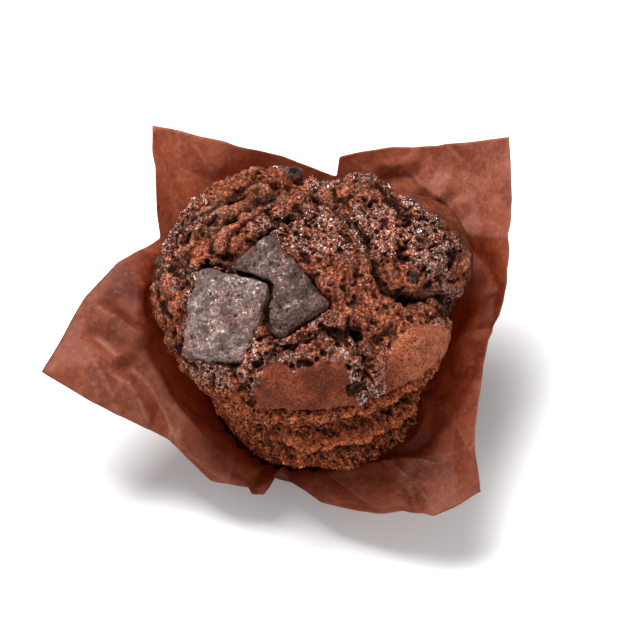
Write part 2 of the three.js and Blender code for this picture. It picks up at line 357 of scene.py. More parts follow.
def from_way(directions, reach, way, ends):
    """Distance of each surface point from a way over the crumb, and 1 along it, fading to 0 at its ends."""
    knots = np.array([aim(*knot) for knot in way])
    best = np.full(len(directions), 99.0)
    along = np.zeros(len(directions))
    for n, (a, b) in enumerate(zip(knots[:-1], knots[1:])):
        line = b - a
        share = np.clip((directions - a) @ line / (line @ line), 0, 1)
        away = norm(directions - a - share[:, None] * line, axis=1)
        closer = away < best
        along = np.where(closer, (n + share) / (len(knots) - 1), along)
        best = np.where(closer, away, best)
    return best * reach, smooth(0, ends, along) * smooth(1, 1 - ends, along)


# The upper edges of the torn crumb and of the smooth baked skin, as azimuth and elevation from the heart.
TORN_TOP = [(-180, -40), (-168, 4), (-155, 12), (-143, 11), (-128, 17), (-117, 20), (-110, 16), (-94, 18),
            (-66, 17), (-53, 17), (-38, 17), (-28, 16), (-20, 8), (-12, 0), (-5, -40), (180, -40)]
SKIN_TOP = [(-180, 4), (-150, 4), (-125, 10), (-117, 20), (-113, 27), (-109, 33), (-103, 37), (-95, 40),
            (-86, 41), (-76, 41), (-74, 31), (-71, 14), (-62, 14), (-59, 28), (-55, 33), (-47, 37), (-38, 37),
            (-29, 35), (-22, 28), (-15, 10), (-5, 4), (8, 12), (14, 34), (20, 41), (27, 43), (40, 44),
            (54, 42), (70, 36), (88, 28), (100, 12), (140, 8), (180, 4)]
RAGGED = 6  # how far the borders of the skin stray, in degrees
# The paler skin on the right is partly a paler colour of its own, partly painted light on the crust turned to
# the light.
PALE_START = (-60, -42)  # the skin on the right is paler: the azimuths where that starts and ends,
PALE_END = (-6, -16)  # and the elevations where it starts
PALE_FOOT = (6, 16)
MATTE_WAY = (-38, 50)  # around here the top is smoother and duller
MATTE_REACH = (28, 12)  # degrees from there where that has ended, and where it starts to end
RIDGE_SUNK = 3.0  # how far the bottoms of the ridge's wrinkles lie below the lobe
WRINKLE_SQUEEZE = 0.28  # the noise is squeezed so much along the ridge that it makes long wrinkles
LUMP_SIZE = 4.6
PORE_SIZE = 2.1
SMALL_PORE_SIZE = 1.3
FLUFF_SIZE = 2.4
RELIEF_SPAN = (-1.1, 1.3)  # heights that count as deep and as proud
CLOSE_ABOVE = [(14, 1), (24, 12)]  # the height where the paper parts, and how far above it stays close
CLOSE_BELOW = 3  # the crumb is wholly covered this far below there
COVERED_FLATTER = 0.85  # share of the roughness that the crumb loses under the paper


def crust_regions(points, directions):
    """Shares from 0 to 1: baked skin, torn crumb, pale skin, open shiny pores and calm matte top."""
    azimuth = np.degrees(np.arctan2(directions[:, 1], directions[:, 0]))
    elevation = np.degrees(np.arcsin(directions[:, 2]))
    ragged = RAGGED * noise(points, 7, 21, 3)
    above_torn = smooth(0, 3, elevation + ragged / 3 - np.interp(azimuth, *zip(*TORN_TOP)))
    skin = above_torn * smooth(0, 4, np.interp(azimuth, *zip(*SKIN_TOP)) - elevation + ragged)
    pale = smooth(*PALE_START, azimuth + ragged / 2) * smooth(*PALE_END, azimuth)
    pale *= smooth(*PALE_FOOT, elevation + ragged / 3)
    from_matte = np.degrees(np.arccos(np.clip(directions @ aim(*MATTE_WAY), -1, 1)))
    matte = smooth(*MATTE_REACH, from_matte + ragged)
    shiny = (1 - matte) * smooth(-0.45, 0.05, noise(points, 13, 25, 2))
    return np.clip(skin, 0, 1), 1 - above_torn, pale, shiny, matte


def covered_share(points):
    """1 where the paper lies against the crumb or rises close to it."""
    azimuth = np.degrees(np.arctan2(points[:, 1], points[:, 0]))
    leave = flap_values(azimuth)[0]
    above = np.interp(leave, *zip(*CLOSE_ABOVE))
    return smooth(leave + above, leave - CLOSE_BELOW, points[:, 2])


def cracked(directions, reach, wander):
    """The crumb's reach after its cracks are cut, and how deep in a crack each point lies, up to 1."""
    hollow = np.zeros(len(directions))
    astray = directions + wander * CRACK_STRAY
    for width, depth, lips, way in CRACKS:
        away, fading = from_way(astray, reach, way, CRACK_ENDS)
        cut = np.maximum(1 - away / width, 0) ** 1.2
        reach = reach - depth * cut * fading + lips * np.exp(-((away - 2 * width) / width) ** 2)
        # How deep in the crack a point lies, later used for painted shade there.
        hollow = np.maximum(hollow, fading * smooth(0, 0.8, cut) * min(0.9 * depth / width, 1))
    return reach, hollow


def stranded(directions, reach, wander, raised, relief):
    """Height and relief with the strands and a valley beside each, and how much of a strand each point is."""
    strand = np.zeros(len(directions))
    for width, height, way in STRANDS:
        away, fading = from_way(directions + wander * STRAND_STRAY, reach, way, STRAND_ENDS)
        fold = fading * np.exp(-(away / width) ** 2)
        beside = fading * np.exp(-((away - 2.2 * width) / width) ** 2)
        raised = raised + height * (fold - 0.5 * beside)
        # A lower relief beside a strand paints shade in its valley.
        relief = np.maximum(relief * (1 - 0.6 * beside), fold)
        strand = np.maximum(strand, fold)
    return raised, relief, strand


def make_crumb(chocolate):
    directions, triangles = ball(BALL_FREQUENCY)
    directions = directions + CROWDED
    directions /= norm(directions, axis=1, keepdims=True)
    reach = surface_reach(directions)
    points = HEART + directions * reach[:, None]
    covered = covered_share(points)
    skin, torn, pale, shiny, matte = crust_regions(points, directions)
    granular = np.clip(1 - skin - torn, 0, 1)
    calm = np.maximum(0.6 * matte, 0.7 * lobe_share(points, "ridge"))

    wander = wandering(points, 5, 31, 3)
    reach, hollow = cracked(directions, reach, wander)
    points = HEART + directions * reach[:, None]
    normals = point_normals(points, triangles)
    raised, relief = roughness_of(points, wander, skin, torn, granular, shiny, calm)
    raised = raised + wrinkles(points) * (1 - hollow)
    raised, relief, strand = stranded(directions, reach, wander, raised, relief)
    raised = raised * (1 - COVERED_FLATTER * covered)
    points = points + normals * raised[:, None]

    directions = points - HEART
    reach = norm(directions, axis=1)
    directions /= reach[:, None]
    reach = around_chocolate(directions, reach, chocolate)
    points = HEART + directions * reach[:, None]
    points[:, 2] = np.maximum(points[:, 2], BOTTOM)
    marks = {"skin": skin, "torn": torn, "pale": pale, "shiny": shiny, "hollow": hollow, "relief": relief,
             "strand": strand, "granular": granular}
    return mesh_object("crumb_body", points, triangles, marks)


def roughness_of(points, wander, skin, torn, granular, shiny, calm):
    """Height of swellings, lumps, pores and grains, and all but the swellings from 0, deep, to 1, proud.

    Cells give pores: a point near a cell's middle is in one, if the cell's number says that it is open. The
    factors of the three reliefs are heights.
    """
    swell = 1.1 * noise(points, 11, 41, 2) + 0.6 * noise(points, 5, 43, 2)
    lump = smooth(0.8, 0.1, cells(points + 1.5 * wander, LUMP_SIZE, 47)[0])
    wide, _, which = cells(points + wander, PORE_SIZE, 61)
    pore = smooth(0.50, 0.20, wide) * smooth(0.38, 0.55, which)
    near, second, number = cells(points + wander * 0.8, SMALL_PORE_SIZE, 51)
    small_pore = smooth(0.60, 0.25, near) * smooth(0.40, 0.55, number)
    wall = smooth(0.40, 0.05, second - near)
    fluff = noise(points, FLUFF_SIZE, 71, 3)
    speck = smooth(0.24, 0.1, wide) * (which > 0.8)
    depth = 0.40 + 0.60 * shiny
    open_relief = (1 - calm) * (1.7 * lump - 0.5) + 0.6 * fluff
    open_relief = open_relief + depth * (0.4 * wall - 1.8 * pore - 0.6 * small_pore)
    torn_relief = 0.9 * lump + 0.5 * wall - 0.8 * small_pore - 1.3 * pore + 0.9 * fluff
    skin_relief = 0.9 + 0.35 * fluff - 0.5 * speck
    relief = granular * open_relief + torn * torn_relief + skin * skin_relief
    # The relief, from deep to proud, also sets where the crumb's colour gets painted shade.
    return swell + relief, smooth(*RELIEF_SPAN, relief)


def wrinkles(points):
    """Long folds of batter along the ridge."""
    centre, _, turn = LOBES["ridge"]
    along, across, up = turned(points, centre, turn).T
    strands = np.stack([along * WRINKLE_SQUEEZE, across, up], axis=1)
    coarse = 1 - np.abs(noise(strands, 3.8, 81, 2)) * 2
    fine = 1 - np.abs(noise(strands, 1.9, 85, 2)) * 2
    return (1.9 * coarse + 0.8 * fine - RIDGE_SUNK) * lobe_share(points, "ridge")


def around_chocolate(directions, reach, chocolate):
    """Banks the crumb up against each chocolate piece, and sinks it under the part that shows."""
    for piece in chocolate:
        spots = mesh_points(piece.data)
        tree = surface_tree(piece.data)
        middle = spots.mean(axis=0) - HEART
        span = np.ptp(spots, axis=0).max()
        height = norm(middle)
        big = span > BIG_PIECE
        close = math.cos(math.atan((0.5 * span + 3 * BANK_WIDTH) / height))
        for n in np.flatnonzero(directions @ (middle / height) > close):
            spot = HEART + directions[n] * reach[n]
            away = tree.find_nearest(Vector(spot * MM))[3] / MM
            outside = HEART + directions[n] * 2 * height
            above = tree.ray_cast(Vector(outside * MM), Vector(-directions[n]))[0]
            below = tree.ray_cast(Vector(HEART * MM), Vector(directions[n]))[0]
            off_middle = norm(middle - directions[n] * (directions[n] @ middle))
            if above is None or not big:
                reach[n] += BANK_HEIGHT * math.exp(-(away / BANK_WIDTH) ** 2)
            if below is not None and big:
                reach[n] = min(reach[n], norm(np.array(below) / MM - HEART) - SOCKET_GAP)
            if above is not None and not big and off_middle < SHOWING * span / 2:
                reach[n] = min(reach[n], norm(np.array(above) / MM - HEART) - CHIP_SINK)
    return reach


# ---- Chocolate ----

def remeshed(name, node, voxel, rounding):
    """A copy of a CAD node's solid as a fine even mesh with rounded edges, in millimetres."""
    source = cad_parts[node]
    piece = bpy.data.objects.new(name, source.data.copy())
    bpy.context.scene.collection.objects.link(piece)
    remesh = piece.modifiers.new("even", "REMESH")
    remesh.mode = "VOXEL"
    remesh.voxel_size = voxel * MM
    soften = piece.modifiers.new("round", "SMOOTH")
    soften.factor = 0.5
    soften.iterations = rounding
    fine = evaluated_mesh(piece)
    bpy.data.objects.remove(piece)
    faces = [tuple(p.vertices) for p in fine.polygons]
    triangles = np.array([(f[0], f[n], f[n + 1]) for f in faces for n in range(1, len(f) - 1)])
    return mesh_points(fine), triangles


CROWN_HEIGHT = 2.0  # a chunk's outer face swells this much at its middle,
CROWN_RADIUS = 9  # fades over this distance,
CROWN_SUNK = 0.6  # and lies this much lower at its border
SLIT_SIZE = 1.4
SLIT_DEPTH = 0.5
SLIT_STRETCH = 0.45  # slits are longer than wide by 1 / (1 - this)
SPECK_SIZE = 1.2
SPECK_DEPTH = 0.35
GRAIN_HEIGHT = 0.18


def make_chunk(name, node, seed, neighbour=None):
    points, triangles = remeshed(name, node, CHUNK_VOXEL, CHUNK_ROUNDING)
    normals = point_normals(points, triangles)
    middle = points.mean(axis=0)
    axes = np.linalg.svd(points[::7] - middle, full_matrices=False)[2]
    outward = axes[2] * np.sign(axes[2] @ (middle - HEART))
    upper = smooth(0.2, 0.7, normals @ outward)
    off_middle = norm(np.cross(points - middle, outward), axis=1)
    crown = upper * (CROWN_HEIGHT * np.exp(-(off_middle / CROWN_RADIUS) ** 2) - CROWN_SUNK)

    wander = wandering(points, 3, seed, 2)
    leaning = 0.8 * axes[0] + 0.6 * axes[1]
    shortened = points - SLIT_STRETCH * (points @ leaning)[:, None] * leaning
    slit_near, _, slit_number = cells(shortened + 0.7 * wander, SLIT_SIZE, seed)
    slit = smooth(0.34, 0.16, slit_near) * (slit_number > 0.55)
    fine_near, _, fine_number = cells(points + 0.9 * wander, SPECK_SIZE, seed + 4)
    speck = smooth(0.40, 0.16, fine_near) * (fine_number > 0.7)
    raised = crown + 1.2 * noise(points, 7, seed + 5, 2) + 0.7 * noise(points, 2.6, seed + 6, 3)
    raised = raised - SLIT_DEPTH * slit - SPECK_DEPTH * speck
    raised = raised + GRAIN_HEIGHT * smooth(0.5, 0.1, fine_near) * (fine_number < 0.4)
    points = points + normals * raised[:, None]
    if neighbour is not None:
        points = drawn_back(points, neighbour)
    # The slits and specks darken the chunk's colour as painted shade.
    return mesh_object(name, points, triangles, {"hollow": np.maximum(slit, 0.7 * speck)})


def drawn_back(points, neighbour):
    """Moves points straight away from a neighbour until the gap is wide enough to see."""
    tree = surface_tree(neighbour.data)
    outward = points.mean(axis=0) - mesh_points(neighbour.data).mean(axis=0)
    outward /= norm(outward)
    moved = points.copy()
    for n, point in enumerate(points):
        place, normal, _, away = tree.find_nearest(Vector(point * MM), 2 * CHUNK_GAP * MM)
        if place is not None:
            outside = 1 if (Vector(point * MM) - place).dot(normal) > 0 else -1
            moved[n] += outward * max(CHUNK_GAP - outside * away / MM, 0)
    return moved


def make_chip(name, node, seed):
    points, triangles = remeshed(name, node, CHIP_VOXEL, CHIP_ROUNDING)
    normals = point_normals(points, triangles)
    raised = 1.0 * noise(points, 2.8, seed, 2) + 0.25 * noise(points, 0.9, seed + 1, 2)
    # The chip's dips are darkened as painted shade.
    marks = {"hollow": smooth(0.0, -0.35, raised)}
    return mesh_object(name, points + normals * raised[:, None], triangles, marks)


# ---- Wrap ----

# Around the wrap, as in the CAD part: azimuth, the height where the paper parts from the crumb, how far its
# bend and its edge lie out from the cup's lip and up from it, and how sharp the bend is.
FLAPS = np.array([
    (-164.8, 24, 10, -1, 39, -3, 0.9),
    (-157, 22, 9, -5, 28, -9, 0.9),
    (-143, 17, 3, -17, 12, -20, 0.6),
    (-127, 12, 0, -27, 9, -29, 0.3),
    (-109, 9, -3, -33, 4, -33, 0.3),
    (-102, 10, -4, -33, -2, -32, 0.3),
    (-87, 12, -2, -31, 6, -31, 0.3),
    (-71, 12, 1, -30, 14, -29, 0.3),
    (-58, 11, 4, -31, 24, -27, 0.3),
    (-46, 15, 5, -26, 29, -21, 0.3),
    (-35, 20, 5, -18, 18, -12, 0.3),
    (-20, 26, 6, -8, 12.5, -4, 0.3),
    (3, 30, 6, -4, 14.5, 1, 0.3),
    (14, 32, 6, -3, 18, 5, 0.3),
    (28, 32, 7, -2, 25, 12, 0.3),
    (40.4, 32, 8, -2, 34, 19, 0.3),
    (52, 32, 6, -2, 19, 17, 0.3),
    (65, 32, 5, -2, 14, 14, 0.3),
    (80.6, 32, 5, -2, 8.0, 12.4, 0.3),
    (81.4, 32, 5, -2, 6.6, 5.6, 0.3),
    (94.5, 32, 5, -2, 7, 9.8, 0.3),
    (101, 32, 5, -2, 7.5, 13.3, 0.3),
    (115, 32, 6, -2, 9, 20, 0.2),
    (136.2, 32, 6, -1, 24, 28, 0.2),
    (145, 32, 7, -1, 15, 17, 0.3),
    (153, 31, 8, 0, 10, 5, 0.5),
    (165.5, 29, 9, 2, 18, 3, 0.8),
    (177.3, 27, 10, 2, 25, 1, 0.9),
])
SKIN = 1.6  # from the crumb's side to the outer face of the paper
FILLET = 3.0  # where the wall leaves the flat base
FILLET_PARTS = 3  # the fillet takes one in this many of the wall's rows
BASE_ROWS = 8
WALL_ROWS = 16
FLAP_ROW = BASE_ROWS + WALL_ROWS
PAPER_FLOOR = 1.0  # no flap hangs lower than this


def flap_values(azimuth):
    """Leave height, bend, edge and sharpness of the paper, its edge straight between the table's rows."""
    table = np.vstack([FLAPS, FLAPS[:1] + (360, 0, 0, 0, 0, 0, 0)])
    begin = table[0, 0]
    wrapped = begin + np.mod(azimuth - begin, 360)
    leave, bend_out, bend_up, sharp = (
        np.mean([np.interp(begin + np.mod(wrapped + turn - begin, 360), table[:, 0], table[:, column])
                 for turn in (-6, -3, 0, 3, 6)], axis=0) for column in (1, 2, 3, 6))
    lip = CUP_RADIUS + SKIN
    corners = (lip + table[:, 4])[:, None] * level_aim(table[:, 0])
    before = np.clip(np.searchsorted(table[:, 0], wrapped, side="right") - 1, 0, len(table) - 2)
    towards = level_aim(wrapped)

    def beside(corner):
        return corner[:, 0] * towards[:, 1] - corner[:, 1] * towards[:, 0]

    first = beside(corners[before])
    share = first / (first - beside(corners[before + 1]))
    edge = corners[before] + share[:, None] * (corners[before + 1] - corners[before])
    edge_up = table[before, 5] + share * (table[before + 1, 5] - table[before, 5])
    edge_out = norm(edge, axis=1)
    return leave, lip + bend_out, CUP_HEIGHT + bend_up, edge_out, CUP_HEIGHT + edge_up, sharp


# Fans of spare paper between two corners: azimuth, half width in degrees, number of pleats and their height.
FANS = [
    (-14, 12, 1, 1.6),
    (-113, 12, 2, 3.6),
    (155, 7, 1, 1.6),
]
PLEAT_SKEW = 0.8  # share of a pleat that its long side takes

# Creases: azimuth and share of the way from the crumb to the edge at both ends, half width and height.
CREASES = [
    (57, 0.76, 46, 0.61, 7, 3.2),
    (46, 0.61, 39, 0.50, 7, 3.2),
    (39, 0.50, 30, 0.53, 6, 2.2),
    (30, 0.54, 20, 0.98, 6, 1.8),
    (66, 0.68, 55, 0.74, 5, -2.6),
    (38, 0.45, 21, 0.61, 3, -1.2),
    (29, 0.60, 9, 0.84, 6, -1.5),
    (9, 0.84, -8, 0.95, 5, -1.2),
    (74, 0.60, 58, 0.95, 6, 0.9),
    (44, 0.80, 50, 0.98, 5, -0.8),
    (120, 0.35, 128, 0.90, 8, 0.9),
    (108, 0.50, 134, 0.70, 7, -0.9),
    (-178, 0.85, -173.5, 0.69, 5, 3.2),
    (-173.5, 0.69, -168, 0.50, 4, 2.8),
    (-172, 0.80, -162, 0.62, 4, -3.2),
    (-162, 0.62, -145, 0.84, 4, -3.2),
    (-164, 0.74, -154, 0.96, 3, 1.8),
    (-158, 0.72, -149, 0.92, 3, 1.8),
    (-53, 0.20, -41, 0.36, 5, -2.8),
    (-53, 0.20, -46, 0.55, 3, 2.2),
    (-54, 0.20, -55, 0.55, 3, 2.0),
    (-55, 0.52, -60, 0.86, 4, -2.0),
    (-54, 0.22, -78, 0.10, 4, 1.2),
    (-28, 0.30, -40, 0.95, 6, 1.0),
    (-80, 0.35, -68, 0.90, 6, -1.1),
]
# How far the darker paper reaches from the crumb, as azimuth and share of the way to the edge: partly fat
# from the crumb seeped into the paper, partly painted shade where the paper stands close to the crumb.
GREASE_AND_SHADE = [(-180, 0.82), (-174, 0.66), (-165, 0.48), (-157, 0.50), (-143, 0.60), (-127, 0.75), (-116, 0.95),
          (-108, 0.55), (-90, 0.20), (-60, 0.18), (-46, 0.30), (-35, 0.60), (-20, 0.95), (-3, 1.05),
          (14, 0.92), (26, 0.70), (36, 0.42), (56, 0.62), (66, 0.66), (78, 0.40), (100, 0.45), (136, 0.35),
          (152, 0.75), (165, 0.92), (173, 0.90), (180, 0.82)]
# Painted light and shade on the paper around the wrap, as azimuth and what its colour is multiplied by.
PAINTED_LIGHT_AROUND = [(-180, 0.72), (-165, 0.78), (-150, 0.68), (-130, 0.50), (-112, 0.60), (-90, 0.72), (-50, 0.66),
         (-28, 0.72), (-8, 0.72), (10, 0.76), (28, 0.90), (60, 0.96), (84, 1.2), (130, 1.45), (155, 1.25),
         (172, 0.72), (180, 0.72)]
WALL_PLEATS = 46
WALL_PLEAT_HEIGHT = 1.3
CRUMPLES = 150
CRUMPLE_SIZE = (5, 18)
CRUMPLE_SLOPE = 0.15
# The pale lines along the creases are partly paler folded paper, partly a painted highlight.
PALE_HIGHLIGHT_WIDTH = 0.35  # half width of the pale line along a crumple
TENT_POWER = 1.15  # above 1, a crease's sides are hollow
PAPER_ROOM = [(0, 0.9), (0.02, 1.8), (0.25, 3.0)]  # share of the way to the edge, and room to the crumb
CLEARING_STEPS = 60
CLEARING_STEP = 0.2
WAVE_SIZE = 26
WAVE_HEIGHT = 1.1


def fanned(azimuth, share):
    """How far each point stands out in the fans' pleats, which rise along a long side and drop at its end."""
    lift = np.zeros(len(azimuth))
    for centre, width, pleats, height in FANS:
        away = half_turn(azimuth - centre) / width
        along = np.mod((away + 1) / 2 * pleats, 1)
        wave = np.where(along < PLEAT_SKEW, along / PLEAT_SKEW, (1 - along) / (1 - PLEAT_SKEW))
        lift += height * wave * (np.abs(away) < 1) * smooth(0.0, 0.6, share)
    return lift


def pleated(azimuth, points, share):
    """How far the wall stands out in the sharp little folds that take up the spare paper."""
    lift = np.zeros(len(azimuth))
    for _ in range(WALL_PLEATS):
        centre = rng.uniform(-180, 180)
        width = rng.uniform(1.5, 3.5)
        lean = rng.uniform(-0.25, 0.25)
        away = half_turn(azimuth - centre - lean * points[:, 2])
        lift = np.maximum(lift, np.maximum(1 - np.abs(away) / width, 0) * rng.uniform(0.4, 1.0))
    return WALL_PLEAT_HEIGHT * lift * smooth(2, 14, points[:, 2]) * smooth(0.25, 0.0, share)


def flap_line(t, knee, sharp, start, bend, edge):
    """The way from start over the bend to the edge: a curve, or two straight lines where sharp is 1."""
    curved = (1 - t) ** 2 * start + 2 * t * (1 - t) * bend + t ** 2 * edge
    first = np.clip(t / knee, 0, 1)
    last = np.clip((t - knee) / (1 - knee), 0, 1)
    straight = start + first * (bend - start) + last * (edge - bend)
    return curved + sharp * (straight - curved)


def wrap_grid():
    """The smooth wrap: for each column and row its azimuth, share of the flap and place, before any fold."""
    azimuth = np.repeat(np.arange(WRAP_COLUMNS) * 360.0 / WRAP_COLUMNS, WRAP_ROWS)
    row = np.tile(np.arange(WRAP_ROWS), WRAP_COLUMNS)
    leave, bend_r, bend_z, edge_r, edge_z, sharp = flap_values(azimuth)

    foot = side_radius(0) + SKIN
    rise = np.clip((row - BASE_ROWS) / WALL_ROWS, 0, 1)
    in_fillet = rise < 1 / FILLET_PARTS
    bent = np.clip(rise * FILLET_PARTS, 0, 1)
    turn = bent * math.pi / 2
    above_fillet = (leave - FILLET) * (rise - 1 / FILLET_PARTS) * FILLET_PARTS / (FILLET_PARTS - 1)
    wall_z = np.where(in_fillet, FILLET * (1 - np.cos(turn)), FILLET + above_fillet)
    wall_r = np.where(in_fillet, foot - FILLET + FILLET * np.sin(turn), foot)
    wall_r = wall_r + (side_radius(wall_z) - side_radius(0)) * bent
    on_wall = row > BASE_ROWS
    radius = np.where(on_wall, wall_r, (foot - FILLET) * np.clip(row / BASE_ROWS, 0, 1))
    height = np.where(on_wall, wall_z, 0.0)

    share = np.clip((row - FLAP_ROW) / (WRAP_ROWS - 1 - FLAP_ROW), 0, 1)
    start_r = side_radius(leave) + SKIN
    knee = np.hypot(bend_r - start_r, bend_z - leave)
    knee = knee / (knee + np.hypot(edge_r - bend_r, edge_z - bend_z))
    radius = np.where(share > 0, flap_line(share, knee, sharp, start_r, bend_r, edge_r), radius)
    height = np.where(share > 0, flap_line(share, knee, sharp, leave, bend_z, edge_z), height)
    return azimuth, share, np.column_stack([radius[:, None] * level_aim(azimuth), height])


def tent(flat, start, end, width, height):
    """A straight crease from start to end on the flat sheet, highest along its line."""
    line = end - start
    share = np.clip((flat - start) @ line / (line @ line), 0, 1)
    away = norm(flat - start - share[:, None] * line, axis=1)
    return height * np.maximum(1 - away / width, 0) ** TENT_POWER


def crumpled(flat):
    """Straight V-shaped creases at random over the flat sheet, each fading out around its middle."""
    height = np.zeros(len(flat))
    line = np.zeros(len(flat))
    for _ in range(CRUMPLES):
        middle = rng.uniform(-0.62, 0.62, 2) * SHEET_SIDE / MM
        turn = rng.uniform(0, math.pi)
        size = rng.uniform(*CRUMPLE_SIZE)
        slope = rng.uniform(0.4, 1.0) * CRUMPLE_SLOPE * rng.choice((-1, 1))
        across = (flat - middle) @ np.array([math.cos(turn), math.sin(turn)])
        around_it = np.exp(-np.sum((flat - middle) ** 2, axis=1) / size ** 2)
        height += slope * np.abs(across) * around_it
        pale = np.exp(-(across / PALE_HIGHLIGHT_WIDTH) ** 2) * around_it * abs(slope) / CRUMPLE_SLOPE
        line = np.maximum(line, pale)
    return height, line


def grid_quads():
    """Faces of the wrap's grid, closed around it."""
    column, row = np.meshgrid(np.arange(WRAP_COLUMNS), np.arange(WRAP_ROWS - 1), indexing="ij")
    here = (column * WRAP_ROWS + row).reshape(-1)
    there = (((column + 1) % WRAP_COLUMNS) * WRAP_ROWS + row).reshape(-1)
    return np.stack([here, there, there + 1, here + 1], axis=1)


def creased(flat, length, share):
    """How far the creases push each point in, and where their pale lines are: partly paler folded paper,
    partly a painted highlight.
    """
    fold, line = crumpled(flat)
    fold *= smooth(0.0, 0.25, share)
    line *= smooth(0.0, 0.25, share)

    def on_sheet(azimuth, part):
        column = int(round(azimuth % 360 * WRAP_COLUMNS / 360)) % WRAP_COLUMNS
        at = length[column, FLAP_ROW] + part * (length[column, -1] - length[column, FLAP_ROW])
        return at * level_aim(azimuth)

    for *ends, width, height in CREASES:
        ridge = tent(flat, on_sheet(*ends[:2]), on_sheet(*ends[2:]), width, height)
        fold += ridge
        line = np.maximum(line, smooth(0.88, 1.0, ridge / height))
    return fold, line


def make_wrap():
    azimuth, share, points = wrap_grid()
    grid = points.reshape(WRAP_COLUMNS, WRAP_ROWS, 3)
    steps = norm(np.diff(grid, axis=1), axis=2)
    length = np.concatenate([np.zeros((WRAP_COLUMNS, 1)), np.cumsum(steps, axis=1)], axis=1)
    flat = length.reshape(-1)[:, None] * level_aim(azimuth)
    level = np.column_stack([flat, np.zeros(len(flat))])
    quads = grid_quads()
    normals = point_normals(points, np.concatenate([quads[:, [0, 1, 2]], quads[:, [0, 2, 3]]]))

    fold, line = creased(flat, length, share)
    points = points + normals * (pleated(azimuth, points, share) - fold - fanned(azimuth, share))[:, None]
    waves = noise(level, WAVE_SIZE, 91, 2) * WAVE_HEIGHT * smooth(0.1, 0.5, share)
    points = points - normals * waves[:, None]
    points = clear_of_crumb(points, share)
    points[:, 2] = np.maximum(points[:, 2], np.where(share > 0, PAPER_FLOOR, 0.0))

    around = half_turn(azimuth)
    shade_end = np.interp(around, *zip(*GREASE_AND_SHADE)) + 0.10 * noise(level, 9, 95, 3)
    marks = {"line": line, "grease_and_shade": smooth(0.10, -0.06, share - shade_end),
             "painted_light": np.interp(around, *zip(*PAINTED_LIGHT_AROUND))}
    piece = mesh_object("paper_sheet", points, quads, marks)
    weld = piece.modifiers.new("centre", "WELD")
    weld.merge_threshold = 0.01 * MM
    solid = piece.modifiers.new("thickness", "SOLIDIFY")
    solid.thickness = PAPER_THICKNESS * MM
    solid.offset = 1
    done = evaluated_mesh(piece)
    piece.modifiers.clear()
    piece.data = done
    return piece


def clear_of_crumb(points, share):
    """Pushes the paper out wherever it would touch the crumb."""
    room = np.interp(share, *zip(*PAPER_ROOM))
    outward = points * (1, 1, 0)
    outward /= np.maximum(norm(outward, axis=1, keepdims=True), 1e-9)
    points = points.copy()
    for _ in range(CLEARING_STEPS):
        tight = (body_field(points) < room) & (points[:, 2] > FILLET)
        if not tight.any():
            break
        points[tight] += outward[tight] * CLEARING_STEP
    return points


# ---- Materials ----

